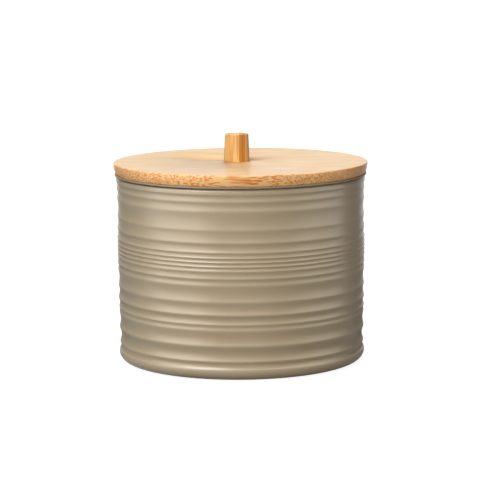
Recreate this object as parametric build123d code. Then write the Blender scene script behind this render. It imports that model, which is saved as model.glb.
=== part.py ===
from build123d import *
import os

# A round cotton pad holder: a ceramic canister with thrown rings, and a lift-off bamboo lid.
# The lid is a board with a plug glued under it, a silicone seal round the plug, and a peg knob
# held from below by one wood screw. Millimetres, +Z up. The origin is on the table, under the
# middle of the canister.

# ---------------------------------------------------------------- canister
body_radius = 51.6        # outermost rings
body_height = 77.1        # from the underside to the rim
wall = 3.4                # from the outermost rings to the bore
floor_thickness = 4.0
foot_ridge_height = 4.6   # lowest ring, above the underside
foot_ridge_inset = 0.50   # that ring, inside body_radius
foot_ridge_rounding = 0.6
foot_inset = 4.1          # edge of the flat underside, inside body_radius
lip_band = 0.8            # straight edge between the topmost ring and the rim's rounding
rim_rounding = 1.6        # outer edge of the rim
bore_rounding = 1.1       # inner edge of the rim
floor_rounding = 5.0      # corner inside, where the bore meets the floor
recess_radius = 33.0      # hollow underside, inside the foot ring
recess_depth = 1.2

# Each cove of the turned outside, going up: its height, its depth, how far the ridge that ends it
# stands inside body_radius, and the rounding of that ridge. The heights stretch or shrink alike to
# fill the body's height.
lower_coves = [
    (3.1, 0.62, 0.60, 1.2),
    (6.3, 0.80, 0.50, 2.0),
    (6.5, 0.55, 0.50, 2.4),
    (2.4, 0.30, 0.40, 1.1),
    (3.8, 0.55, 0.20, 1.4),
    (5.3, 0.55, 0.35, 2.2),
    (6.9, 0.50, 0.20, 2.6),
    (2.7, 0.34, 0.08, 1.1),
    (3.1, 0.36, 0.00, 0.9),
]
rib_count = 3             # fine ribs round the middle
rib_pitch = 1.75
rib_depth = 0.36
rib_rounding = 0.4
upper_coves = [
    (2.2, 0.36, 0.00, 0.9),
    (3.9, 0.50, 0.12, 1.8),
    (5.2, 0.38, 0.30, 2.6),
    (7.7, 0.45, 0.15, 3.2),
    (3.8, 0.42, 0.05, 2.0),
    (2.8, 0.36, 0.00, 1.4),
]

# ---------------------------------------------------------------- base pads
pad_count = 4
pad_radius = 4.5
pad_proud = 0.5           # below the underside, so that the canister stands on the pads
pad_sunk = 0.7            # inside their sockets
pad_rounding = 0.3
pad_clearance = 0.1       # round each pad in its socket

# ---------------------------------------------------------------- lid
board_overhang = 1.1      # top edge of the board beyond body_radius, before easing
board_thickness = 4.6
board_taper = 1.05        # its bottom edge stands this far inside its top edge
board_bulge = 0.30        # the side between them swells by this much
board_easing = 0.4
plug_depth = 7.0
plug_clearance = 2.9      # room between plug and bore, for the seal
plug_easing = 0.6
knob_radius = 5.3         # at the board
knob_taper = 0.35         # smaller by this much at the top
knob_height = 11.4
knob_easing = 0.4
knob_offset = -1.5        # along X from the middle of the lid

# ---------------------------------------------------------------- seal
flange_thickness = 0.7    # flat ring pinched between rim and board
flange_overhang = 0.6     # beyond body_radius
skirt_thickness = 1.2     # sleeve round the plug
skirt_setback = 1.0       # sleeve ends this far above the plug's underside
fin_count = 2
fin_thickness = 0.8       # at the sleeve
fin_tip = 0.45            # at the bore
fin_droop = 0.5           # the tips hang this much below the roots
bead_height = 1.6         # bead that sits in the plug's groove
bead_depth = 0.9

# ---------------------------------------------------------------- screw
thread_radius = 1.75      # at the crests
root_radius = 1.2         # between them
shank_clearance = 0.15    # round the thread, in plug and board
tip_cover = 3.4           # wood of the knob left above the screw's tip
tip_length = 2.2
thread_pitch = 1.6
head_radius = 3.5
head_height = 2.2
head_land = 0.3           # straight edge of the head
head_sunk = 0.3           # head above the plug's underside
head_clearance = 0.1
cross_width = 0.9         # arms of the cross recess in the head

# ---------------------------------------------------------------- clearances
turning_gap = 0.05        # between seal and lid, which turn against each other
seat_gap = 0.05           # between seal and rim, with the lid down
sliding_gap = 0.15        # between the fins and the bore
thread_gap = 0.05         # round the screw in the knob's threaded hole

# ---------------------------------------------------------------- what follows from the sizes
coves = lower_coves + [(rib_pitch, rib_depth, 0.0, rib_rounding)] * rib_count + upper_coves
coves_height = body_height - foot_ridge_height - lip_band - rim_rounding
cove_stretch = coves_height / sum(cove[0] for cove in coves)
bore_radius = body_radius - wall
foot_radius = body_radius - foot_inset
pad_circle = (recess_radius + foot_radius) / 2
board_radius = body_radius + board_overhang
plug_radius = bore_radius - plug_clearance
flange_radius = body_radius + flange_overhang
base_z = pad_proud
rim_z = base_z + body_height
flange_z = rim_z + seat_gap
board_z = flange_z + flange_thickness + turning_gap
board_top_z = board_z + board_thickness
plug_z = board_z - plug_depth
head_z = plug_z + head_sunk
tip_z = board_top_z + knob_height - tip_cover
skirt_z = plug_z + skirt_setback
skirt_inner_radius = plug_radius + turning_gap
skirt_outer_radius = skirt_inner_radius + skirt_thickness
bead_bottom = board_z - (plug_depth + bead_height) / 2
fin_pitch = (flange_z - skirt_z - fin_droop) / fin_count
neck_radius = (thread_radius + root_radius) / 2
tip_radius = 0.8 * root_radius
shank_z = head_z + head_height
cross_length = 1.1 * head_radius
cross_depth = 0.55 * head_height


def rounded(face, corners, radius):
    """The face with its corners at the given (radius, height) points rounded."""
    picked = [v for v in face.vertices() if any(abs(v.X - r) + abs(v.Y - z) < 0.001 for r, z in corners)]
    return fillet(picked, radius)


def turned(face):
    """The solid that a face of (radius, height) points sweeps round the middle axis."""
    return revolve(Plane.XZ * face, Axis.Z)


def ridge_points():
    """(radius, height) of every ridge of the outside, from the foot up."""
    z = base_z + foot_ridge_height
    points = [(body_radius - foot_ridge_inset, z)]
    for height, depth, inset, rounding in coves:
        z += height * cove_stretch
        points.append((body_radius - inset, z))
    return points


def cove_arcs(ridges):
    """One hollow arc from each ridge to the next."""
    arcs = []
    for low, high, (height, depth, inset, rounding) in zip(ridges, ridges[1:], coves):
        middle = ((low[0] + high[0]) / 2 - depth, (low[1] + high[1]) / 2)
        arcs.append(ThreePointArc(low, middle, high))
    return arcs


def with_rounded_ridges(face, ridges):
    """The face with the foot's ridge and the top of every cove rounded."""
    roundings = [foot_ridge_rounding] + [rounding for height, depth, inset, rounding in coves]
    for ridge, rounding in zip(ridges, roundings):
        face = rounded(face, [ridge], rounding)
    return face


def at_pads(shape):
    """A copy of a shape at each pad's place on the underside."""
    around = PolarLocations(pad_circle, pad_count, start_angle=180 / pad_count)
    return [Pos(0, 0, base_z) * place * shape for place in around]


def canister():
    ridges = ridge_points()
    foot_edge = (foot_radius, base_z)
    rim_outer = (body_radius, rim_z)
    rim_inner = (bore_radius, rim_z)
    floor_z = base_z + floor_thickness
    floor_corner = (bore_radius, floor_z)
    recess_z = base_z + recess_depth
    face = make_face([
        Polyline((0, recess_z), (recess_radius - recess_depth, recess_z), (recess_radius, base_z), foot_edge),
        TangentArc(foot_edge, ridges[0], tangent=(1, 0)),
        *cove_arcs(ridges),
        Polyline(ridges[-1], rim_outer, rim_inner, floor_corner, (0, floor_z), (0, recess_z)),
    ])
    face = with_rounded_ridges(face, ridges)
    face = rounded(face, [rim_outer], rim_rounding)
    face = rounded(face, [rim_inner], bore_rounding)
    face = rounded(face, [floor_corner], floor_rounding)
    socket = Cylinder(pad_radius + pad_clearance, pad_sunk, align=(Align.CENTER, Align.CENTER, Align.MIN))
    return turned(face) - at_pads(socket)


def base_pads():
    """Round non-slip pads, glued into the sockets of the underside."""
    face = rounded(
        make_face(Polyline((0, -pad_proud), (pad_radius, -pad_proud), (pad_radius, pad_sunk),
                           (0, pad_sunk), close=True)),
        [(pad_radius, -pad_proud)], pad_rounding)
    return Compound(at_pads(turned(face)))


def at_knob(shape):
    """A shape made round the middle axis, moved to where the knob stands."""
    return Pos(knob_offset, 0, 0) * shape


def upright_cylinder(radius, low_z, high_z):
    """A round bar or hole between two heights."""
    return Pos(0, 0, low_z) * Cylinder(radius, high_z - low_z, align=(Align.CENTER, Align.CENTER, Align.MIN))


def shank_hole():
    """Clearance hole for the screw, through plug and board."""
    return at_knob(upright_cylinder(thread_radius + shank_clearance, plug_z, board_top_z))


def countersink():
    """Seat for the screw's head in the plug's underside."""
    mouth_radius = head_radius + head_clearance
    cone = turned(make_face(Polyline(
        (0, plug_z), (mouth_radius, plug_z), (mouth_radius, head_z + head_land),
        (neck_radius, shank_z + head_clearance), (0, shank_z + head_clearance), close=True)))
    return at_knob(cone)


def lid_board():
    lower_edge = (board_radius - board_taper, board_z)
    upper_edge = (board_radius, board_top_z)
    swell = (board_radius - board_taper / 2 + board_bulge, board_z + board_thickness / 2)
    face = make_face([
        Polyline((0, board_z), lower_edge),
        ThreePointArc(lower_edge, swell, upper_edge),
        Polyline(upper_edge, (0, board_top_z), (0, board_z)),
    ])
    return turned(rounded(face, [lower_edge, upper_edge], board_easing)) - shank_hole()


def lid_plug():
    """Disc under the board, grooved for the seal's bead and countersunk for the screw."""
    groove_bottom = bead_bottom - turning_gap
    groove_top = bead_bottom + bead_height + turning_gap
    groove_radius = plug_radius - bead_depth
    lower_edge = (plug_radius, plug_z)
    outline = Polyline(
        (0, plug_z), lower_edge,
        (plug_radius, groove_bottom), (groove_radius, groove_bottom),
        (groove_radius, groove_top), (plug_radius, groove_top),
        (plug_radius, board_z), (0, board_z), close=True)
    return turned(rounded(make_face(outline), [lower_edge], plug_easing)) - shank_hole() - countersink()


def knob():
    """Tapered peg that stands on the board, with a blind hole threaded for the screw."""
    top_edge = (knob_radius - knob_taper, board_top_z + knob_height)
    outline = Polyline(
        (0, board_top_z), (knob_radius, board_top_z), top_edge, (0, board_top_z + knob_height), close=True)
    peg = turned(rounded(make_face(outline), [top_edge], knob_easing))
    return at_knob(peg - screw_shank(thread_gap) - screw_tip(thread_gap))


def screw_shank(gap=0):
    """Threaded shank, or with a gap the hole for it: a round section off the axis, which turns as it climbs."""
    off_axis = Plane(origin=((thread_radius - root_radius) / 2, 0, shank_z))
    section = Wire([Edge.make_circle(neck_radius + gap, off_axis)])
    length = tip_z - tip_length + gap - shank_z
    turn = 360 * length / thread_pitch
    return Solid.extrude_linear_with_rotation(section, (0, 0, shank_z), (0, 0, length), turn)


def screw_tip(gap=0):
    """Point of the screw, or with a gap the end of the hole for it."""
    low_z = tip_z - tip_length
    return turned(make_face(Polyline((0, low_z), (tip_radius + gap, low_z), (0, tip_z + gap), close=True)))


def screw_head():
    return turned(make_face(Polyline(
        (0, head_z), (head_radius, head_z), (head_radius, head_z + head_land),
        (neck_radius, shank_z), (0, shank_z), close=True)))


def cross_recess():
    """Crossed slots in the head for the driver."""
    slot = Box(cross_length, cross_width, cross_depth, align=(Align.CENTER, Align.CENTER, Align.MIN))
    return Pos(0, 0, head_z) * (slot + Rot(0, 0, 90) * slot)


def knob_screw():
    """Countersunk wood screw, driven from under the plug up into the knob."""
    return at_knob(screw_head() + screw_shank() + screw_tip() - cross_recess())


def fin_profile(root_z):
    """Thin lip that reaches from the sleeve to the bore, with its tip hanging down."""
    reach = bore_radius - sliding_gap
    return turned(make_face(Polyline(
        (skirt_outer_radius, root_z), (reach, root_z - fin_droop),
        (reach, root_z - fin_droop + fin_tip), (skirt_outer_radius, root_z + fin_thickness),
        close=True)))


def lid_seal():
    """Silicone ring: a flange under the board, a sleeve round the plug, and fins to the bore."""
    flange_top = flange_z + flange_thickness
    bead_top = bead_bottom + bead_height
    bead_tip = skirt_inner_radius - bead_depth
    ring = turned(make_face(Polyline(
        (skirt_inner_radius, skirt_z), (skirt_outer_radius, skirt_z), (skirt_outer_radius, flange_z),
        (flange_radius, flange_z), (flange_radius, flange_top), (skirt_inner_radius, flange_top),
        (skirt_inner_radius, bead_top), (bead_tip, bead_top), (bead_tip, bead_bottom),
        (skirt_inner_radius, bead_bottom), close=True)))
    return ring + [fin_profile(skirt_z + fin_droop + fin_pitch * index) for index in range(fin_count)]


nodes = {
    "canister": canister(),
    "base_pads": base_pads(),
    "lid_seal": lid_seal(),
    "lid_plug": lid_plug(),
    "lid_board": lid_board(),
    "knob": knob(),
    "knob_screw": knob_screw(),
}
os.makedirs("parts", exist_ok=True)
for name, shape in nodes.items():
    export_step(shape, f"parts/{name}.step")
print(f"canister {body_height:.1f} high, {2 * body_radius:.1f} across; lid {2 * board_radius:.1f} across")
print(f"whole part {board_top_z + knob_height:.1f} high")
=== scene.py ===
# %% [markdown]
# # A cotton pad holder
# A small round canister of thrown, glazed clay, with a lift-off bamboo lid. The lid is a board
# with a plug glued under it, a silicone seal round the plug, and a peg knob held by one screw.
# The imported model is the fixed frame: it gives every place and size, in metres, with +Z up.
# Each piece below is built to fit that frame, gets its finish, and rides on its body.

# %% Load the frame
import cmath
import math

import bpy
from mathutils import Matrix, Vector


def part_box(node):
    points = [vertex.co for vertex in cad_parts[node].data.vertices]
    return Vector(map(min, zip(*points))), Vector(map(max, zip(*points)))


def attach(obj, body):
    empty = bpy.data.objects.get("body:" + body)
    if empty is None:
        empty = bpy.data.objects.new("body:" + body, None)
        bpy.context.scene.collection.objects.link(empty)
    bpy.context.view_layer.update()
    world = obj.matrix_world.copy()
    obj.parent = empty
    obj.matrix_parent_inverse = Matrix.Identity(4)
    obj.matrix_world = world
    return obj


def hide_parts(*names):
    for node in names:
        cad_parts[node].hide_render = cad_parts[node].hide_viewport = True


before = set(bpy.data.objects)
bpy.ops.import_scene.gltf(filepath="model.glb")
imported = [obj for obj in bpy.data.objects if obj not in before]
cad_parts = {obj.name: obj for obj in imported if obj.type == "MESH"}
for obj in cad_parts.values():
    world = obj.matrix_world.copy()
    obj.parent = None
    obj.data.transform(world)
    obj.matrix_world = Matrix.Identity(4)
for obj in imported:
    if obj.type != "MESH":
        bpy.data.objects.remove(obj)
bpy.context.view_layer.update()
scene = bpy.context.scene
for node in sorted(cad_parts):
    low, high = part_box(node)
    width = 1000 * (high.x - low.x)
    print(f"{node}: {1000 * low.z:.2f} to {1000 * high.z:.2f} mm up, {width:.2f} mm across")

# %% [markdown]
# ## The camera
# The photograph is taken from a little above, with a long lens. The camera stands where a fit to
# the object's outline puts it. Its three axes are written out, because that states the slight
# roll of the picture plainly: right, up and back, turned about the line of sight.

# %% Camera
MM = 0.001
camera_height = 187.0 * MM
camera_distance = 926.3 * MM
camera_side = 3.7 * MM
camera_tilt = math.radians(8.68)
camera_roll = math.radians(-0.414)
camera_lens = 161.7           # for a sensor 36 mm wide

forward = Vector((0, math.cos(camera_tilt), -math.sin(camera_tilt)))
right = Vector((1, 0, 0))
up = right.cross(forward)
axes = Matrix((right, up, -forward)).transposed() @ Matrix.Rotation(camera_roll, 3, "Z")
camera_data = bpy.data.cameras.new("camera")
camera_data.lens = camera_lens
camera_data.sensor_width = 36
camera = bpy.data.objects.new("camera", camera_data)
camera_place = Matrix.Translation((camera_side, -camera_distance, camera_height))
camera.matrix_world = camera_place @ axes.to_4x4()
scene.collection.objects.link(camera)
scene.camera = camera
scene.view_settings.view_transform = "Standard"
print(f"camera {camera_distance:.3f} m in front, looking down {math.degrees(camera_tilt):.1f} degrees")

# %% [markdown]
# ## Building node trees in code
# Geometry Nodes and materials are both trees of nodes joined by links. One small function adds a
# node, changes its settings, and fills each input with a value or joins it to another socket.
# Another starts a Geometry Nodes tree with named inputs, so that every size can be seen and
# changed in the modifier panel.


# %% Helpers for node trees
def add(tree, kind, inputs=None, **settings):
    """A new node, with its settings changed and its inputs filled or linked, by name or number."""
    node = tree.nodes.new(kind)
    for name, value in settings.items():
        setattr(node, name, value)
    for name, value in (inputs or {}).items():
        if isinstance(value, bpy.types.NodeSocket):
            tree.links.new(value, node.inputs[name])
        else:
            node.inputs[name].default_value = value
    return node


def math_node(tree, operation, *values):
    """The result of one sum on numbers or sockets."""
    node = add(tree, "ShaderNodeMath", dict(enumerate(values)), operation=operation)
    return node.outputs[0]


def geometry_tree(name, sizes):
    """A Geometry Nodes tree with a geometry going in and out, and one input for each named size."""
    tree = bpy.data.node_groups.new(name, "GeometryNodeTree")
    tree.interface.new_socket("Geometry", in_out="INPUT", socket_type="NodeSocketGeometry")
    for size, kind in sizes.items():
        tree.interface.new_socket(size, in_out="INPUT", socket_type="NodeSocket" + kind)
    tree.interface.new_socket("Geometry", in_out="OUTPUT", socket_type="NodeSocketGeometry")
    return tree, add(tree, "NodeGroupInput").outputs


def finish_tree(tree, geometry, material):
    """Ends a tree with real geometry in place of copies, and its material."""
    real = add(tree, "GeometryNodeRealizeInstances", {"Geometry": geometry})
    dressed = add(tree, "GeometryNodeSetMaterial", {"Geometry": real.outputs[0], "Material": material})
    add(tree, "NodeGroupOutput", {"Geometry": dressed.outputs[0]})


def grow(name, mesh, steps):
    """Runs trees on a mesh, one after another, and keeps the result as a plain mesh object."""
    seed = bpy.data.objects.new(name + "_seed", mesh)
    for tree, sizes in steps:
        modifier = seed.modifiers.new(tree.name, "NODES")
        modifier.node_group = tree
        for item in tree.interface.items_tree:
            if item.in_out == "INPUT" and item.name in sizes:
                modifier[item.identifier] = sizes[item.name]
    scene.collection.objects.link(seed)
    bpy.context.view_layer.update()
    evaluated = seed.evaluated_get(bpy.context.evaluated_depsgraph_get())
    piece = bpy.data.objects.new(name, bpy.data.meshes.new_from_object(evaluated))
    seed.modifiers.clear()
    bpy.data.objects.remove(seed)
    scene.collection.objects.link(piece)
    piece.data.calc_loop_triangles()
    print(f"{name}: {len(piece.data.vertices)} points, {len(piece.data.loop_triangles)} triangles")
    return piece


# %% [markdown]
# ## Drawing outlines
# Nearly every piece here is round, so it starts as a flat outline: half of the section that a saw
# would show. A point of it is one complex number, the radius plus the height times i. That makes
# an arc short to write, because a multiplication turns a point about its centre.


# %% Outline helpers
GUARD = 0.15              # where the point outside a rounding stands, as a share of its reach


def arc_points(centre, start, end, steps):
    """Points on the shorter arc about a centre, from start to end."""
    turn = cmath.phase((end - centre) / (start - centre))
    return [centre + (start - centre) * cmath.exp(1j * turn * step / steps) for step in range(steps + 1)]


def circle_through(start, middle, end):
    """The centre and radius of the circle through three points."""
    a = middle - start
    b = end - start
    centre = start + (abs(a) ** 2 * b - abs(b) ** 2 * a) / (2j * (a.conjugate() * b).imag)
    return centre, abs(start - centre)


def arc_through(start, middle, end, steps):
    """Points on the arc from start to end that passes through a middle point."""
    return arc_points(circle_through(start, middle, end)[0], start, end, steps)


def rounded_corner(before, corner, after, radius, steps=6):
    """The arc that rounds a corner, with a point just outside each end to keep the flats flat."""
    back = (before - corner) / abs(before - corner)
    ahead = (after - corner) / abs(after - corner)
    half = abs(cmath.phase(back / ahead)) / 2
    reach = radius / math.tan(half)
    centre = corner + (back + ahead) / abs(back + ahead) * radius / math.sin(half)
    arc = arc_points(centre, corner + back * reach, corner + ahead * reach, steps)
    margin = GUARD * reach
    return [arc[0] + back * margin, *arc, arc[-1] + ahead * margin]


def outline(corners):
    """Points through (radius, height, rounding) corners in millimetres; a rounding of 0 stays sharp."""
    places = [complex(radius, height) for radius, height, rounding in corners]
    points = []
    for index, (radius, height, rounding) in enumerate(corners):
        if rounding:
            after = places[(index + 1) % len(places)]
            points += rounded_corner(places[index - 1], places[index], after, rounding)
        else:
            points.append(places[index])
    return points


# %% [markdown]
# ## The wheel: turning an outline into a solid
# A potter's wheel and a lathe follow one rule: every point of the outline goes once round the
# axis. The tree below does that. Mesh to Curve makes the outline a curve, and Curve to Mesh
# carries it round a circle. Curve to Mesh lays the outline's X outwards from the circle and its
# Y downwards, so Set Position first puts radius and height there. Merge by Distance closes the
# seam and the poles, and edges that turn more than a set angle are marked sharp.

# %% The turning tree
AXIS_CIRCLE = 10 * MM     # radius of the circle that the outline is carried round
SHARP_ANGLE = math.radians(32)
ONE_POINT = 0.002 * MM    # points that are nearer than this become one


def creased(tree, geometry):
    """Smooth faces, with the edges that turn more than SHARP_ANGLE left sharp."""
    smooth = add(tree, "GeometryNodeSetShadeSmooth", {"Geometry": geometry, "Shade Smooth": True})
    angle = add(tree, "GeometryNodeInputMeshEdgeAngle").outputs["Unsigned Angle"]
    sharp = add(tree, "FunctionNodeCompare", {0: angle, 1: SHARP_ANGLE}, data_type="FLOAT",
                operation="GREATER_THAN")
    return add(tree, "GeometryNodeSetShadeSmooth", {
        "Geometry": smooth.outputs[0], "Selection": sharp.outputs[0], "Shade Smooth": False},
        domain="EDGE").outputs[0]


turning, given = geometry_tree("turned piece", {"Segments": "Int", "Material": "Material"})
place = add(turning, "ShaderNodeSeparateXYZ", {0: add(turning, "GeometryNodeInputPosition").outputs[0]})
across = math_node(turning, "SUBTRACT", place.outputs["X"], AXIS_CIRCLE)
down = math_node(turning, "MULTIPLY", place.outputs["Z"], -1.0)
laid = add(turning, "GeometryNodeSetPosition", {
    "Geometry": given["Geometry"],
    "Position": add(turning, "ShaderNodeCombineXYZ", {"X": across, "Y": down}).outputs[0]})
curve = add(turning, "GeometryNodeMeshToCurve", {"Mesh": laid.outputs[0]})
circle = add(turning, "GeometryNodeCurvePrimitiveCircle", {
    "Resolution": given["Segments"], "Radius": AXIS_CIRCLE})
swept = add(turning, "GeometryNodeCurveToMesh", {
    "Curve": circle.outputs[0], "Profile Curve": curve.outputs[0]})
closed = add(turning, "GeometryNodeMergeByDistance", {
    "Geometry": swept.outputs[0], "Distance": ONE_POINT})
finish_tree(turning, creased(turning, closed.outputs[0]), given["Material"])
print(f"turning tree: {len(turning.nodes)} nodes")


# %% A function that turns an outline
def outline_mesh(name, points, closed=False, marks=None):
    """The outline as a chain of edges, with a number at each point for the finish, where given."""
    count = len(points)
    edges = [(index, index + 1) for index in range(count - 1)]
    if closed:
        edges.append((count - 1, 0))
    mesh = bpy.data.meshes.new(name)
    mesh.from_pydata([(point.real * MM, 0, point.imag * MM) for point in points], edges, [])
    for mark, values in (marks or {}).items():
        mesh.attributes.new(mark, "FLOAT", "POINT").data.foreach_set("value", values)
    return mesh


def turned(name, points, material, segments=192, closed=False, marks=None, after=()):
    """A piece turned from an outline, with further trees run on it after that."""
    sizes = {"Segments": segments, "Material": material}
    return grow(name, outline_mesh(name, points, closed, marks), [(turning, sizes), *after])


# %% [markdown]
# ## Finishes
# Every finish is a small tree that ends in a Principled BSDF. All of them read Object
# coordinates: the pattern then fills the solid like the grain in wood, and stays put when the
# lid is lifted or turned. One helper starts such a material, one reads noise at a real size in
# millimetres, and one makes a bump of a real height.


# %% Helpers for finishes
def srgb(red, green, blue):
    """A screen colour, 0 to 255, as the linear colour that a shader takes."""
    return [((part / 255 + 0.055) / 1.055) ** 2.4 if part > 10 else part / 255 / 12.92
            for part in (red, green, blue)] + [1]


def finish(name, **constants):
    """A new material, its tree, its shader with the constant inputs set, and the object coordinates."""
    material = bpy.data.materials.new(name)
    material.use_nodes = True
    tree = material.node_tree
    shader = tree.nodes["Principled BSDF"]
    for socket, value in constants.items():
        shader.inputs[socket.replace("_", " ")].default_value = value
    return material, tree, shader, add(tree, "ShaderNodeTexCoord").outputs["Object"]


def noise(tree, vector, size_mm, detail=2.0, seed=0.0):
    """Soft noise from 0 to 1 whose blobs are about size_mm across."""
    node = add(tree, "ShaderNodeTexNoise", {
        "Vector": vector, "W": seed, "Scale": 1000 / size_mm, "Detail": detail}, noise_dimensions="4D")
    return node.outputs["Fac"]


def fade(tree, value, low, high, to_low=0.0, to_high=1.0):
    """The value's stretch from low to high, spread smoothly over another range."""
    node = add(tree, "ShaderNodeMapRange", {
        "Value": value, "From Min": low, "From Max": high, "To Min": to_low, "To Max": to_high},
        interpolation_type="SMOOTHSTEP")
    return node.outputs["Result"]


def mixed(tree, factor, first, second, blend="MIX"):
    """One colour laid over another."""
    colours = {0: factor, 6: first, 7: second}
    return add(tree, "ShaderNodeMix", colours, data_type="RGBA", blend_type=blend).outputs[2]


def bump(tree, shader, height, depth_mm):
    """Lets a height from 0 to 1 dent the surface by up to depth_mm."""
    node = add(tree, "ShaderNodeBump", {"Height": height, "Distance": depth_mm * MM})
    tree.links.new(node.outputs[0], shader.inputs["Normal"])


# %% [markdown]
# ## The glaze
# The clay is covered with one taupe glaze with a satin sheen. A glaze flows while it melts: it
# thins over the ridges, where it turns paler, and pools in the hollows, where it is deeper. So
# the outline carries a number, pooling, from 0 on a ridge to about 1 in the deepest hollows.
# Broad noise clouds the colour a little, fine noise leaves specks, and the flat underside, which
# would stick to the kiln shelf, has no glaze: a second number, bare_clay, is 1 there.

# %% Glaze colours and sizes
thin_glaze = srgb(177, 160, 131)
deep_glaze = srgb(165, 147, 118)
speck_colour = srgb(120, 106, 88)
speck_strength = 0.25
pale_clay = srgb(206, 190, 166)
dark_clay = srgb(182, 164, 138)
pooling_share = 0.55      # of the depth; clouds give the rest
cloud_size = 22           # millimetres, as are the next four
speck_size = 0.9
clay_grain = 1.4
ripple_size = 1.6
ripple_depth = 0.03
smoothest, dullest = 0.29, 0.34
bare_dullness = 0.45      # clay without glaze is this much rougher

# %% Glaze finish
glaze, tree, shader, at = finish("taupe_glaze", Coat_Weight=0.12, Coat_Roughness=0.2)
pooling = add(tree, "ShaderNodeAttribute", attribute_name="pooling").outputs["Fac"]
cloud = noise(tree, at, cloud_size, 3.0)
pooled_part = math_node(tree, "MULTIPLY", pooling, pooling_share)
cloud_part = math_node(tree, "MULTIPLY", cloud, 1 - pooling_share)
depth = math_node(tree, "ADD", pooled_part, cloud_part)
colour = mixed(tree, fade(tree, depth, 0.15, 0.85), thin_glaze, deep_glaze)
specks = fade(tree, noise(tree, at, speck_size, 1.0, 3.0), 0.70, 0.78)
colour = mixed(tree, math_node(tree, "MULTIPLY", specks, speck_strength), colour, speck_colour)
bare = add(tree, "ShaderNodeAttribute", attribute_name="bare_clay").outputs["Fac"]
clay = mixed(tree, noise(tree, at, clay_grain, 4.0), pale_clay, dark_clay)
tree.links.new(mixed(tree, bare, colour, clay), shader.inputs["Base Color"])
satin = fade(tree, cloud, 0.3, 0.7, smoothest, dullest)
dulled = math_node(tree, "MULTIPLY", bare, bare_dullness)
tree.links.new(math_node(tree, "ADD", satin, dulled), shader.inputs["Roughness"])
bump(tree, shader, noise(tree, at, ripple_size, 2.0, 5.0), ripple_depth)
print("glaze:", len(tree.nodes), "nodes")

# %% [markdown]
# ## The canister
# The outside is a stack of hollows that the thrower's fingertip leaves, with a ridge between each
# two. A list gives each hollow, from the foot up: its height, its depth, how far the ridge above
# it stands inside the widest ridges, and how much that ridge is rounded. Arcs join the ridges,
# and a small circle that touches the arcs on both sides rounds each of them. The rest of the
# outline follows: rim, bore, floor, and the hollow underside.

# %% Canister sizes
canister_low, canister_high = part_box("canister")
base_z = canister_low.z / MM
rim_z = canister_high.z / MM
body_radius = canister_high.x / MM
wall = 3.4
bore_radius = body_radius - wall
floor_thickness = 4.0
floor_z = base_z + floor_thickness
foot_ridge_height = 4.6
foot_ridge_inset = 0.50
foot_ridge_rounding = 0.6
foot_inset = 4.1
foot_radius = body_radius - foot_inset
recess_radius = 33.0
recess_depth = 1.2
lip_band = 0.8
rim_rounding = 1.6
bore_rounding = 1.1
floor_rounding = 5.0
lower_hollows = [
    (3.1, 0.62, 0.60, 1.2), (6.3, 0.80, 0.50, 2.0), (6.5, 0.55, 0.50, 2.4),
    (2.4, 0.30, 0.40, 1.1), (3.8, 0.55, 0.20, 1.4), (5.3, 0.55, 0.35, 2.2),
    (6.9, 0.50, 0.20, 2.6), (2.7, 0.34, 0.08, 1.1), (3.1, 0.36, 0.00, 0.9)]
fine_hollows = [(1.75, 0.36, 0.00, 0.4)] * 3
upper_hollows = [
    (2.2, 0.36, 0.00, 0.9), (3.9, 0.50, 0.12, 1.8), (5.2, 0.38, 0.30, 2.6),
    (7.7, 0.45, 0.15, 3.2), (3.8, 0.42, 0.05, 2.0), (2.8, 0.36, 0.00, 1.4)]
hollows = lower_hollows + fine_hollows + upper_hollows
hollows_height = rim_z - base_z - foot_ridge_height - lip_band - rim_rounding
stretch = hollows_height / sum(height for height, depth, inset, rounding in hollows)
print(f"{len(hollows)} hollows over {hollows_height:.1f} mm, body {2 * body_radius:.1f} mm across")

# %% Canister outline
HOLLOW_STEPS = 14         # points along each hollow
RIDGE_STEPS = 5           # points round each ridge
FOOT_STEPS = 12           # points up the foot's arc
DEEPEST = 0.75            # hollow depth that counts as full of glaze
EVEN_GLAZE = 0.4          # pooling where the surface has no rings
STRAIGHT = 10000          # radius so great that its arc is a straight line


def ridge_centre(ridge, below, above, rounding):
    """The centre of the circle that rounds a ridge, and so touches the arcs on both sides."""
    apart = above[0] - below[0]
    first, second = below[1] + rounding, above[1] + rounding
    along = (abs(apart) ** 2 + first ** 2 - second ** 2) / (2 * abs(apart))
    side = math.copysign(math.sqrt(first ** 2 - along ** 2), ((ridge - below[0]) / apart).imag)
    return below[0] + apart / abs(apart) * complex(along, side)


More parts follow.
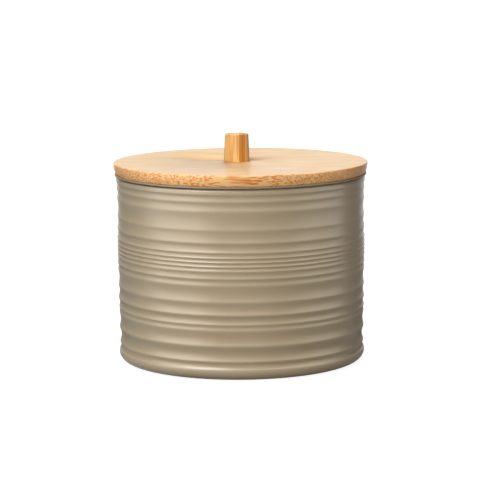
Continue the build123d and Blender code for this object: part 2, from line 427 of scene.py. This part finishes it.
def ringed_wall(foot, ridge):
    """Points up the wall from the foot's arc, and how much glaze pools at each."""
    arcs, depths, ridges = [(foot, -abs(ridge - foot))], [0.0], [ridge]
    roundings = [foot_ridge_rounding] + [rounding for height, depth, inset, rounding in hollows]
    for height, depth, inset, rounding in hollows:
        start, top = ridges[-1], complex(body_radius - inset, ridges[-1].imag + height * stretch)
        arcs.append(circle_through(start, (start + top) / 2 - depth, top))
        depths.append(depth)
        ridges.append(top)
    arcs.append((ridges[-1] + STRAIGHT, STRAIGHT))
    points, pooled = [], []
    for index, rounding in enumerate(roundings):
        (low_centre, low_radius), (high_centre, high_radius) = arcs[index], arcs[index + 1]
        centre = ridge_centre(ridges[index], arcs[index], arcs[index + 1], rounding)
        low_touch = low_centre + (centre - low_centre) * low_radius / (low_radius + rounding)
        high_touch = high_centre + (centre - high_centre) * high_radius / (high_radius + rounding)
        if index:
            points += arc_points(low_centre, leaving, low_touch, HOLLOW_STEPS)[:-1]
            fill = depths[index] / DEEPEST
            pooled += [4 * step * (HOLLOW_STEPS - step) / HOLLOW_STEPS ** 2 * fill
                       for step in range(HOLLOW_STEPS)]
        points += arc_points(centre, low_touch, high_touch, RIDGE_STEPS)[:-1]
        pooled += [0.0] * RIDGE_STEPS
        leaving = high_touch
    return points + [leaving], pooled + [0.0]


def foot_centre(start, end):
    """The centre of the arc that leaves the flat underside and meets the foot ridge."""
    across, rise = end.real - start.real, end.imag - start.imag
    return start + 1j * (across ** 2 + rise ** 2) / (2 * rise)


foot_ridge = complex(body_radius - foot_ridge_inset, base_z + foot_ridge_height)
foot_start = complex(foot_radius, base_z)
foot_arc = foot_centre(foot_start, foot_ridge)
rings, pooled = ringed_wall(foot_arc, foot_ridge)
recess_z = base_z + recess_depth
under = outline([(0, recess_z, 0), (recess_radius - recess_depth, recess_z, 0),
                 (recess_radius, base_z, 0)])
foot = arc_points(foot_arc, foot_start, rings[0], FOOT_STEPS)[:-1]
inside = outline([
    (body_radius, rings[-1].imag, 0), (body_radius, rim_z, rim_rounding),
    (bore_radius, rim_z, bore_rounding), (bore_radius, floor_z, floor_rounding),
    (0, floor_z, 0)])[1:]
points = under + foot + rings + inside
pooling_marks = [EVEN_GLAZE] * len(under + foot) + pooled + [EVEN_GLAZE] * len(inside)
bare_points = len(under) + 2      # the underside, as far as the start of the foot's arc
bare_marks = [1.0] * bare_points + [0.0] * (len(points) - bare_points)
print(f"canister outline: {len(points)} points")

# %% [markdown]
# ## Sockets and copies round a circle
# Four round sockets in the underside hold the base pads. Two small trees do such work: one sets
# copies of a piece evenly round the middle, and one drills: it sets cones round the middle in the
# same way and takes them out with a Mesh Boolean. A cone with equal radii is a plain drill, and
# one with a wide mouth is a countersink.


# %% The trees for copies and for drilling
DRILL_SIDES = 64


def round_the_middle(tree, count, radius, start_angle, height):
    """Points evenly spaced on a circle, the first at the start angle."""
    step = math_node(tree, "DIVIDE", 2 * math.pi, count)
    turn = math_node(tree, "ADD", math_node(
        tree, "MULTIPLY", add(tree, "GeometryNodeInputIndex").outputs[0], step), start_angle)
    spot = add(tree, "ShaderNodeCombineXYZ", {
        "X": math_node(tree, "MULTIPLY", math_node(tree, "COSINE", turn), radius),
        "Y": math_node(tree, "MULTIPLY", math_node(tree, "SINE", turn), radius), "Z": height})
    return add(tree, "GeometryNodePoints", {"Count": count, "Position": spot.outputs[0]}).outputs[0]


copying, given = geometry_tree("copies round a circle", {
    "Count": "Int", "Circle": "Float", "Start angle": "Float", "Material": "Material"})
spots = round_the_middle(copying, given["Count"], given["Circle"], given["Start angle"], 0.0)
copies = add(copying, "GeometryNodeInstanceOnPoints", {"Points": spots, "Instance": given["Geometry"]})
finish_tree(copying, copies.outputs[0], given["Material"])

drilling, given = geometry_tree("drilled holes", {
    "Count": "Int", "Circle": "Float", "Start angle": "Float", "Lower radius": "Float",
    "Upper radius": "Float", "From": "Float", "To": "Float", "Material": "Material"})
length = math_node(drilling, "SUBTRACT", given["To"], given["From"])
bit = add(drilling, "GeometryNodeMeshCone", {
    "Vertices": DRILL_SIDES, "Radius Top": given["Upper radius"],
    "Radius Bottom": given["Lower radius"], "Depth": length})
spots = round_the_middle(
    drilling, given["Count"], given["Circle"], given["Start angle"], given["From"])
bits = add(drilling, "GeometryNodeInstanceOnPoints", {"Points": spots, "Instance": bit.outputs["Mesh"]})
cutter = add(drilling, "GeometryNodeRealizeInstances", {"Geometry": bits.outputs[0]})
drilled = add(drilling, "GeometryNodeMeshBoolean", {
    "Mesh 1": given["Geometry"], "Mesh 2": cutter.outputs[0]}, operation="DIFFERENCE", solver="EXACT")
finish_tree(drilling, drilled.outputs["Mesh"], given["Material"])


def holes(material, low, high, radius, upper_radius=None, count=1, circle=0.0, start_angle=0.0):
    """A drilling step for turned(), in millimetres and radians."""
    return drilling, {
        "Count": count, "Circle": circle * MM, "Start angle": start_angle,
        "Lower radius": radius * MM, "Upper radius": (upper_radius or radius) * MM,
        "From": low * MM, "To": high * MM, "Material": material}


# %% Build the canister
pad_count = 4
pad_radius = 4.5
pad_circle = (recess_radius + foot_radius) / 2
pad_clearance = 0.1
first_pad = math.pi / pad_count
pad_low, pad_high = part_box("base_pads")
drill_past = 1.0          # a drill starts and ends this far outside the piece
canister_segments = 224
sockets = holes(glaze, base_z - drill_past, pad_high.z / MM, pad_radius + pad_clearance,
                count=pad_count, circle=pad_circle, start_angle=first_pad)
canister = turned("canister_glazed", points, glaze, canister_segments,
                  marks={"pooling": pooling_marks, "bare_clay": bare_marks}, after=[sockets])
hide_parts("canister")
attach(canister, "canister")

# %% [markdown]
# ## Bamboo
# A bamboo board is glued up from split strips. Each strip is packed with dark fibre bundles that
# run its whole length: on a face along the grain they show as fine streaks, and across the grain
# as dots. So the finish fills the solid: stretched cells are the bundles, stretched noise the
# softer streaks between them, and every strip has a tone of its own. Wherever a cut goes, the
# pattern turns from streaks to dots by itself, as it does round the lid's edge. The lathe opens
# the fibres there, and they drink more oil, so the board's outline marks its edge with a number,
# turned_edge: where it is 1, the bundles show in full and the colour turns warmer and brighter in
# red, partly from the oil and partly as painted light that brightens the side of the board.


# %% Bamboo finish
GOLDEN = 0.618034         # steps of this size, wrapped round, spread the strips' tones evenly
OILED_EDGE_AND_PAINTED_LIGHT = (1.20, 1.01, 0.79, 1)    # oil on the turned edge, and painted light that brightens it
GRAIN_SCALE = 0.03        # draws the pattern out along the grain, about 33 times
COUNT_FROM = 20           # keeps the strips' numbers above 0
BROAD_STREAK = 2.6        # millimetres across the grain, as are the next
FINE_STREAK = 0.5
PORE_DEPTH = 0.012


def bamboo(name, axes, strip_width, first_strip, first_tone, colours, streaks=0.5, bundles=0.7,
           bundle_size=1.3):
    """Bamboo in strips; the axes say where the grain, the strips and the third way point."""
    material, tree, shader, at = finish(
        name, Coat_Weight=0.2, Coat_Roughness=0.36, Specular_IOR_Level=0.3)
    turn = Matrix(axes).to_euler()
    grain = add(tree, "ShaderNodeMapping", {"Vector": at, "Rotation": turn}).outputs[0]
    part = add(tree, "ShaderNodeSeparateXYZ", {0: grain})
    strip = math_node(tree, "FLOOR", math_node(tree, "DIVIDE", math_node(
        tree, "SUBTRACT", part.outputs["Y"], first_strip * MM), strip_width * MM))
    steps = math_node(tree, "MULTIPLY_ADD", strip, GOLDEN, first_tone + COUNT_FROM)
    tone = math_node(tree, "FRACT", steps)
    along = math_node(tree, "ADD", part.outputs["X"], tone)
    shifted = add(tree, "ShaderNodeCombineXYZ", {
        "X": math_node(tree, "MULTIPLY", along, GRAIN_SCALE),
        "Y": part.outputs["Y"], "Z": part.outputs["Z"]}).outputs[0]
    broad = noise(tree, shifted, BROAD_STREAK, 2.0)
    fine = noise(tree, shifted, FINE_STREAK, 2.0, 4.0)
    cells = add(tree, "ShaderNodeTexVoronoi", {"Vector": shifted, "Scale": 1000 / bundle_size})
    bundle = fade(tree, cells.outputs["Distance"], 0.32, 0.52, 1.0, 0.0)
    pale, middle, dark = colours
    colour = mixed(tree, fade(tree, tone, 0.5, 1.0), pale, middle)
    soft = math_node(tree, "MULTIPLY", fade(tree, broad, 0.35, 0.7), streaks)
    colour = mixed(tree, soft, colour, middle)
    hair = math_node(tree, "MULTIPLY", fade(tree, fine, 0.45, 0.75), streaks / 2)
    colour = mixed(tree, hair, colour, dark)
    edge = add(tree, "ShaderNodeAttribute", attribute_name="turned_edge").outputs["Fac"]
    shown = math_node(tree, "MULTIPLY_ADD", edge, bundles / 2, bundles / 2)
    colour = mixed(tree, math_node(tree, "MULTIPLY", bundle, shown), colour, dark)
    # The turned edge is multiplied warmer and brighter: partly oil in the open fibres, partly painted
    # light on the board's side.
    colour = mixed(tree, edge, colour, OILED_EDGE_AND_PAINTED_LIGHT, "MULTIPLY")
    tree.links.new(colour, shader.inputs["Base Color"])
    tree.links.new(fade(tree, broad, 0.2, 0.8, 0.34, 0.48), shader.inputs["Roughness"])
    height = math_node(tree, "SUBTRACT", fine, math_node(tree, "MULTIPLY", bundle, 0.5))
    bump(tree, shader, height, PORE_DEPTH)
    print(f"{name}: {len(tree.nodes)} nodes")
    return material


grain_along_x = ((1, 0, 0), (0, 1, 0), (0, 0, 1))
grain_along_z = ((0, 0, 1), (1, 0, 0), (0, 1, 0))
knob_offset = -1.5
board_colours = srgb(236, 204, 154), srgb(233, 199, 149), srgb(196, 114, 40)
plug_colours = srgb(232, 188, 134), srgb(216, 166, 108), srgb(176, 118, 62)
knob_colours = srgb(236, 193, 122), srgb(204, 130, 52), srgb(170, 98, 34)
board_bamboo = bamboo("board_bamboo", grain_along_x, strip_width=6.2, first_strip=1.7, first_tone=0.3,
                      colours=board_colours, streaks=0.35, bundles=0.9, bundle_size=0.52)
plug_bamboo = bamboo("plug_bamboo", grain_along_x, strip_width=7.4, first_strip=3.1, first_tone=0.7,
                     colours=plug_colours)
knob_bamboo = bamboo("knob_bamboo", grain_along_z, strip_width=2.47, first_strip=knob_offset + 1.0,
                     first_tone=0.95, colours=knob_colours, streaks=0.3, bundles=0.8, bundle_size=0.9)

# %% [markdown]
# ## The lid board
# The board is a plain turned disc. Its edge leans in towards the rim with a slight swell, and
# both corners of the edge are sanded over a little. The screw for the knob goes through a
# drilled hole that is as far off the middle as the knob is.

# %% Build the board
board_low, board_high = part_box("lid_board")
board_z, board_top_z = board_low.z / MM, board_high.z / MM
plug_low, plug_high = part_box("lid_plug")
plug_z, plug_radius = plug_low.z / MM, plug_high.x / MM
board_overhang = 1.1
board_radius = body_radius + board_overhang
board_taper = 1.05
board_bulge = 0.30
easing = 0.4
edge_steps = 8
thread_radius = 1.75
shank_clearance = 0.15
shank_hole = thread_radius + shank_clearance
off_centre = {"circle": abs(knob_offset), "start_angle": math.pi}
nearly = 0.01             # keeps rounding errors from marking the flat faces

lower_edge = complex(board_radius - board_taper, board_z)
upper_edge = complex(board_radius, board_top_z)
swell = (lower_edge + upper_edge) / 2 + board_bulge
between = arc_through(lower_edge, swell, upper_edge, edge_steps)[1:-1]
side = [(point.real, point.imag, 0) for point in between]
points = outline([(0, board_z, 0), (lower_edge.real, board_z, easing), *side,
                  (board_radius, board_top_z, easing), (0, board_top_z, 0)])
edge_marks = [float(board_z + nearly < point.imag < board_top_z - nearly) for point in points]
board_hole = holes(board_bamboo, board_z - drill_past, board_top_z + drill_past, shank_hole, **off_centre)
board = turned("lid_board_bamboo", points, board_bamboo, marks={"turned_edge": edge_marks},
               after=[board_hole])
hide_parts("lid_board")
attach(board, "lid")

# %% [markdown]
# ## The plug
# The plug centres the lid in the canister. A groove round it takes the seal's bead, and the hole
# for the screw ends in a countersink, so that the head lies just above the plug's underside.

# %% Build the plug
seal_low, seal_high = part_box("lid_seal")
flange_top = seal_high.z / MM
skirt_z = seal_low.z / MM
bead_height = 1.6
bead_bottom = (board_z + plug_z - bead_height) / 2
bead_top = bead_bottom + bead_height
bead_depth = 0.9
plug_easing = 0.6
turning_gap = 0.05
head_radius = 3.5
head_land = 0.3           # straight edge of the head
head_height = 2.2
head_clearance = 0.1
screw_low, screw_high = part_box("knob_screw")
head_z, tip_z = screw_low.z / MM, screw_high.z / MM
sink_below = 0.5          # the countersink's cone starts this far below the plug
sink_flare = 0.9          # and is this much wider there than the head

plug_hole = holes(plug_bamboo, plug_z - drill_past, board_z + drill_past, shank_hole, **off_centre)
countersink = holes(plug_bamboo, plug_z - sink_below, head_z + head_height + head_clearance,
                    head_radius + sink_flare, thread_radius, **off_centre)
groove_radius = plug_radius - bead_depth
groove_low, groove_high = bead_bottom - turning_gap, bead_top + turning_gap
plug = turned("lid_plug_bamboo", outline([
    (0, plug_z, 0), (plug_radius, plug_z, plug_easing), (plug_radius, groove_low, 0),
    (groove_radius, groove_low, 0), (groove_radius, groove_high, 0), (plug_radius, groove_high, 0),
    (plug_radius, board_z, 0), (0, board_z, 0)]), plug_bamboo, after=[plug_hole, countersink])
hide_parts("lid_plug")
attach(plug, "lid")

# %% [markdown]
# ## The seal
# One ring of translucent grey silicone: a thin flange that the board presses on the rim, a sleeve
# round the plug with a bead in its groove, and two fins that brush the bore. Its outline is a
# closed loop that never meets the axis, so the wheel makes a ring of it. Light goes a little way
# into silicone, which is what Subsurface is for.

# %% Build the seal
SILICONE_IOR = 1.41
silicone, tree, shader, at = finish(
    "seal_silicone", Subsurface_Weight=0.35, Subsurface_Radius=(1.0, 0.85, 0.65),
    Subsurface_Scale=1.2 * MM, IOR=SILICONE_IOR)
milk = mixed(tree, noise(tree, at, 9, 2.0), srgb(152, 138, 116), srgb(138, 124, 102))
tree.links.new(milk, shader.inputs["Base Color"])
tree.links.new(fade(tree, noise(tree, at, 3, 2.0, 2.0), 0.3, 0.7, 0.36, 0.5), shader.inputs["Roughness"])
bump(tree, shader, noise(tree, at, 0.6, 1.0, 6.0), 0.02)

flange_thickness = 0.7
flange_z = flange_top - flange_thickness
flange_radius = seal_high.x / MM
skirt_thickness = 1.2
skirt_in = plug_radius + turning_gap
skirt_out = skirt_in + skirt_thickness
sliding_gap = 0.15
fin_reach = bore_radius - sliding_gap
fin_droop = 0.5
fin_thickness = 0.8
fin_tip = 0.45
fin_rounding = 0.12
soft_rounding = 0.2       # of flange and bead
fin_count = 2
fin_pitch = (flange_z - skirt_z - fin_droop) / fin_count
fins = []
for index in range(fin_count):
    root_z = skirt_z + fin_droop + fin_pitch * index
    fins += [(skirt_out, root_z, 0), (fin_reach, root_z - fin_droop, fin_rounding),
             (fin_reach, root_z - fin_droop + fin_tip, fin_rounding),
             (skirt_out, root_z + fin_thickness, 0)]
bead_tip = skirt_in - bead_depth
seal = turned("seal_ring_silicone", outline([
    (skirt_in, skirt_z, 0), (skirt_out, skirt_z, 0), *fins, (skirt_out, flange_z, 0),
    (flange_radius, flange_z, soft_rounding), (flange_radius, flange_top, soft_rounding),
    (skirt_in, flange_top, 0), (skirt_in, bead_top, 0), (bead_tip, bead_top, soft_rounding),
    (bead_tip, bead_bottom, soft_rounding), (skirt_in, bead_bottom, 0)]), silicone, closed=True)
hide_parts("lid_seal")
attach(seal, "seal")

# %% [markdown]
# ## The knob
# A short peg, a little narrower at the top, cut from a piece of bamboo laminate, so its grain and
# its narrow strips stand upright. The same outline has the blind hole for the screw, with a
# pointed end. The wheel turns it about the middle of the lid, and one copy of it is then set
# where the knob stands.

# %% Build the knob
knob_radius = 5.3
knob_taper = 0.35
knob_top_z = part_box("knob")[1].z / MM
thread_gap = 0.05
knob_hole = thread_radius + thread_gap
knob_foot_rounding = 0.12
knob_segments = 128
tip_length = 2.2          # of the screw


def beside_the_middle(material):
    """The step that sets one copy where the knob and its screw stand."""
    return copying, {
        "Count": 1, "Circle": abs(knob_offset) * MM, "Start angle": math.pi, "Material": material}


knob = turned("knob_bamboo_peg", outline([
    (0, tip_z, 0), (knob_hole, tip_z - tip_length, 0), (knob_hole, board_top_z, 0),
    (knob_radius, board_top_z, knob_foot_rounding), (knob_radius - knob_taper, knob_top_z, easing),
    (0, knob_top_z, 0)]), knob_bamboo, knob_segments, after=[beside_the_middle(knob_bamboo)])
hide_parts("knob")
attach(knob, "lid")

# %% [markdown]
# ## The screw
# A countersunk wood screw holds the knob from below. Head, core and point are turned. A second
# tree winds the thread: a spiral curve up the core with a small triangle carried along it. A
# third cuts the crossed slots for the driver.

# %% The trees for thread and slots
TURN_STEPS = 40           # points in each turn of the spiral
FLATTENED = 0.8           # height of the thread's section against its width

threading, given = geometry_tree("thread", {
    "Core radius": "Float", "Thread height": "Float", "Pitch": "Float", "From": "Float", "To": "Float",
    "Material": "Material"})
climb = math_node(threading, "SUBTRACT", given["To"], given["From"])
spiral = add(threading, "GeometryNodeCurveSpiral", {
    "Resolution": TURN_STEPS, "Rotations": math_node(threading, "DIVIDE", climb, given["Pitch"]),
    "Start Radius": given["Core radius"], "End Radius": given["Core radius"], "Height": climb})
lifted = add(threading, "GeometryNodeTransform", {
    "Geometry": spiral.outputs[0],
    "Translation": add(threading, "ShaderNodeCombineXYZ", {"Z": given["From"]}).outputs[0]})
upright = add(threading, "GeometryNodeSetCurveNormal", {"Curve": lifted.outputs[0]}, mode="Z_UP")
triangle = add(threading, "GeometryNodeCurvePrimitiveCircle", {
    "Resolution": 3, "Radius": given["Thread height"]})
pointed = add(threading, "GeometryNodeTransform", {
    "Geometry": triangle.outputs[0], "Scale": (1, FLATTENED, 1)})
ridge = add(threading, "GeometryNodeCurveToMesh", {
    "Curve": upright.outputs[0], "Profile Curve": pointed.outputs[0], "Fill Caps": True})
both = add(threading, "GeometryNodeJoinGeometry")
threading.links.new(given["Geometry"], both.inputs[0])
threading.links.new(creased(threading, ridge.outputs[0]), both.inputs[0])
finish_tree(threading, both.outputs[0], given["Material"])

slotting, given = geometry_tree("crossed slots", {
    "Length": "Float", "Width": "Float", "Depth": "Float", "Height": "Float", "Material": "Material"})
crossed = add(slotting, "GeometryNodeJoinGeometry")
for x, y in (("Length", "Width"), ("Width", "Length")):
    size = add(slotting, "ShaderNodeCombineXYZ", {
        "X": given[x], "Y": given[y], "Z": math_node(slotting, "MULTIPLY", given["Depth"], 2.0)})
    slot = add(slotting, "GeometryNodeMeshCube", {"Size": size.outputs[0]})
    slotting.links.new(slot.outputs["Mesh"], crossed.inputs[0])
raised = add(slotting, "GeometryNodeTransform", {
    "Geometry": crossed.outputs[0],
    "Translation": add(slotting, "ShaderNodeCombineXYZ", {"Z": given["Height"]}).outputs[0]})
cut = add(slotting, "GeometryNodeMeshBoolean", {"Mesh 1": given["Geometry"], "Mesh 2": raised.outputs[0]},
          operation="DIFFERENCE", solver="EXACT")
finish_tree(slotting, cut.outputs["Mesh"], given["Material"])

# %% Build the screw
steel, tree, shader, at = finish("screw_steel", Metallic=1.0)
drawn = add(tree, "ShaderNodeMapping", {"Vector": at, "Scale": (1, 1, 6)}).outputs[0]
lines = noise(tree, drawn, 0.8, 3.0)
tree.links.new(mixed(tree, lines, srgb(176, 174, 170), srgb(150, 147, 142)), shader.inputs["Base Color"])
tree.links.new(fade(tree, lines, 0.3, 0.7, 0.24, 0.42), shader.inputs["Roughness"])
bump(tree, shader, lines, 0.01)

core_radius = 1.2
neck_flare = 0.3          # the core is this much thicker where it meets the head
neck_length = 0.5
head_easing = 0.08
thread_pitch = 1.6
thread_stop = 2.4         # the thread ends this far below the tip
slot_length = 3.85
slot_width = 0.9
slot_depth = 1.2
small_segments = 64       # enough for the small round pieces
shank_z = head_z + head_height

wound = threading, {
    "Core radius": core_radius * MM, "Thread height": (thread_radius - core_radius) * MM,
    "Pitch": thread_pitch * MM, "From": (shank_z + thread_pitch) * MM,
    "To": (tip_z - thread_stop) * MM, "Material": steel}
slotted = slotting, {
    "Length": slot_length * MM, "Width": slot_width * MM, "Depth": slot_depth * MM,
    "Height": head_z * MM, "Material": steel}
screw = turned("knob_screw_steel", outline([
    (0, head_z, 0), (head_radius, head_z, head_easing), (head_radius, head_z + head_land, 0),
    (core_radius + neck_flare, shank_z, 0), (core_radius, shank_z + neck_length, 0),
    (core_radius, tip_z - tip_length, 0), (0, tip_z, 0)]),
    steel, small_segments, after=[wound, slotted, beside_the_middle(steel)])
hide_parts("knob_screw")
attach(screw, "lid")

# %% [markdown]
# ## The base pads
# Four pale grey silicone pads are pressed into the sockets, so that the bare clay foot doesn't
# scratch or slide. One pad is turned, and the copying tree sets four of it round the middle.

# %% Build the pads
pad_silicone, tree, shader, at = finish(
    "pad_silicone", Subsurface_Weight=0.2, Subsurface_Scale=1.0 * MM, IOR=SILICONE_IOR)
tree.links.new(mixed(tree, noise(tree, at, 2, 2.0), srgb(150, 146, 138), srgb(132, 128, 120)),
               shader.inputs["Base Color"])
tree.links.new(fade(tree, noise(tree, at, 1, 2.0, 1.0), 0.3, 0.7, 0.5, 0.66), shader.inputs["Roughness"])
bump(tree, shader, noise(tree, at, 0.3, 1.0, 2.0), 0.02)
pad_z, pad_top_z = pad_low.z / MM, pad_high.z / MM
pad_rounding = 0.3
in_the_sockets = copying, {
    "Count": pad_count, "Circle": pad_circle * MM, "Start angle": first_pad, "Material": pad_silicone}
pads = turned("base_pads_silicone", outline([
    (0, pad_z, 0), (pad_radius, pad_z, pad_rounding), (pad_radius, pad_top_z, 0), (0, pad_top_z, 0)]),
    pad_silicone, small_segments, after=[in_the_sockets])
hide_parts("base_pads")
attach(pads, "canister")

# %% [markdown]
# ## Floor, lamps and world
# Two things make the look of a shiny round body: the light that falls on it, and what it mirrors.
# The lamps give the first: a wide soft key high on the left, a weak one in front that fills the
# ridges, one above for the lid, and a low one behind that keeps the back readable. A
# photographer settles the second with white cards and black flags round the object. Here a list
# of angles and levels stands for them: a long card front left, a smaller one front right, black
# flags beside the object, which draw its dark edges, and the white backdrop behind. The world
# and the floor show that list only to reflections, and so that nothing shines twice, the lamps in
# front and behind are hidden from reflections. The camera sees white, and the floor keeps the
# shadow.

# %% What a mirror would see
card, small_card, backdrop, flag = 4.1, 2.1, 1.0, 0.05
studio = [(0, 0.3), (22, 0.4), (40, card), (78, card), (96, 0.3), (112, flag), (145, flag),
          (162, backdrop), (205, backdrop), (221, flag), (250, flag),
          (262, small_card), (296, small_card), (318, 0.4), (360, 0.3)]


def studio_light(tree, toward):
    """The light that a reflection finds that way, by its angle, from the front leftwards."""
    way = add(tree, "ShaderNodeSeparateXYZ", {0: toward}).outputs
    left, front = (math_node(tree, "MULTIPLY", way[axis], -1.0) for axis in "XY")
    angle = math_node(tree, "DIVIDE", math_node(tree, "ARCTAN2", left, front), 2 * math.pi)
    ramp = add(tree, "ShaderNodeFloatCurve", {"Value": math_node(tree, "FLOORED_MODULO", angle, 1.0)})
    brightest = max(level for degrees, level in studio)
    points = ramp.mapping.curves[0].points
    for degrees, level in studio[1:-1]:
        points.new(degrees / 360, level / brightest)
    points[0].location = (0, studio[0][1] / brightest)
    points[-1].location = (1, studio[-1][1] / brightest)
    for point in points:
        point.handle_type = "VECTOR"
    ramp.mapping.update()
    return math_node(tree, "MULTIPLY", ramp.outputs[0], brightest)


def seen_in_a_mirror(tree):
    """1 for rays from a mirror-like reflection or through glass, else 0."""
    path = add(tree, "ShaderNodeLightPath").outputs
    return math_node(tree, "MAXIMUM", path["Is Glossy Ray"], path["Is Transmission Ray"])


# %% Floor
floor_mesh = bpy.data.meshes.new("floor")
reach = 4.0
corners = [(-reach, -reach, 0), (reach, -reach, 0), (reach, reach, 0), (-reach, reach, 0)]
floor_mesh.from_pydata(corners, [], [(0, 1, 2, 3)])
floor = bpy.data.objects.new("floor", floor_mesh)
scene.collection.objects.link(floor)
paper, tree, shader, at = finish("pale_floor", Roughness=0.9, Specular_IOR_Level=0.1)
paper_colour = mixed(tree, noise(tree, at, 3, 2.0), srgb(142, 142, 141), srgb(138, 138, 136))
tree.links.new(paper_colour, shader.inputs["Base Color"])
away = add(tree, "ShaderNodeVectorMath", {0: at}, operation="LENGTH").outputs["Value"]
camera_ray = add(tree, "ShaderNodeLightPath").outputs["Is Camera Ray"]
direct = math_node(tree, "MULTIPLY", camera_ray, fade(tree, away, 0.15, 0.8, 0.90, 1.0))
# In reflections the floor glows with the cards' light, dimmed near the canister: a painted shadow of the
# object that only reflections see.
cards_and_painted_shade_below = math_node(
    tree, "MULTIPLY", studio_light(tree, at), fade(tree, away, 0.08, 0.50, 0.08, 1.0))
in_mirror = math_node(tree, "MULTIPLY", seen_in_a_mirror(tree), cards_and_painted_shade_below)
tree.links.new(math_node(tree, "MAXIMUM", direct, in_mirror), shader.inputs["Emission Strength"])
shader.inputs["Emission Color"].default_value = (1, 1, 1, 1)
floor_mesh.materials.append(paper)

# %% World
world = bpy.data.worlds.new("studio")
scene.world = world
world.use_nodes = True
tree = world.node_tree
fill = 0.05               # even light from all round
toward = add(tree, "ShaderNodeTexCoord").outputs["Generated"]
upwards = add(tree, "ShaderNodeSeparateXYZ", {0: toward}).outputs["Z"]
ceiling = fade(tree, upwards, 0.5, 0.9, 0.0, 0.8)
cards = math_node(tree, "MAXIMUM", studio_light(tree, toward), ceiling)
camera_ray = add(tree, "ShaderNodeLightPath").outputs["Is Camera Ray"]
in_mirror = math_node(tree, "MULTIPLY", seen_in_a_mirror(tree), cards)
strength = math_node(tree, "MAXIMUM", math_node(tree, "MAXIMUM", camera_ray, in_mirror), fill)
tree.links.new(strength, tree.nodes["Background"].inputs["Strength"])
tree.nodes["Background"].inputs["Color"].default_value = (1, 1, 1, 1)


# %% Lamps
LAMP_AIM = 45 * MM        # height of the point that the lamps face


def lamp(name, place, size, power, tint=(1, 1, 1), mirrored=True):
    """A soft square lamp that faces the middle of the canister; reflections may leave it out."""
    data = bpy.data.lights.new(name, "AREA")
    data.shape = "SQUARE"
    data.size = size
    data.energy = power
    data.color = tint
    light = bpy.data.objects.new(name, data)
    aim = Vector((0, 0, LAMP_AIM)) - Vector(place)
    light.matrix_world = Matrix.Translation(place) @ aim.to_track_quat("-Z", "Y").to_matrix().to_4x4()
    light.visible_glossy = mirrored
    light.visible_camera = False
    scene.collection.objects.link(light)
    print(f"lamp {name}: {power} W, {aim.length:.2f} m away")


lamp("key", (-0.66, -0.78, 1.12), 0.9, 18.6, (0.97, 1.0, 1.08))
lamp("front", (0.10, -1.20, 0.50), 0.6, 5.6, (1.05, 1.0, 0.93), mirrored=False)
lamp("overhead", (0.0, 0.1, 1.4), 1.0, 5.2)
lamp("back", (0.35, 1.15, 0.20), 0.5, 5, mirrored=False)
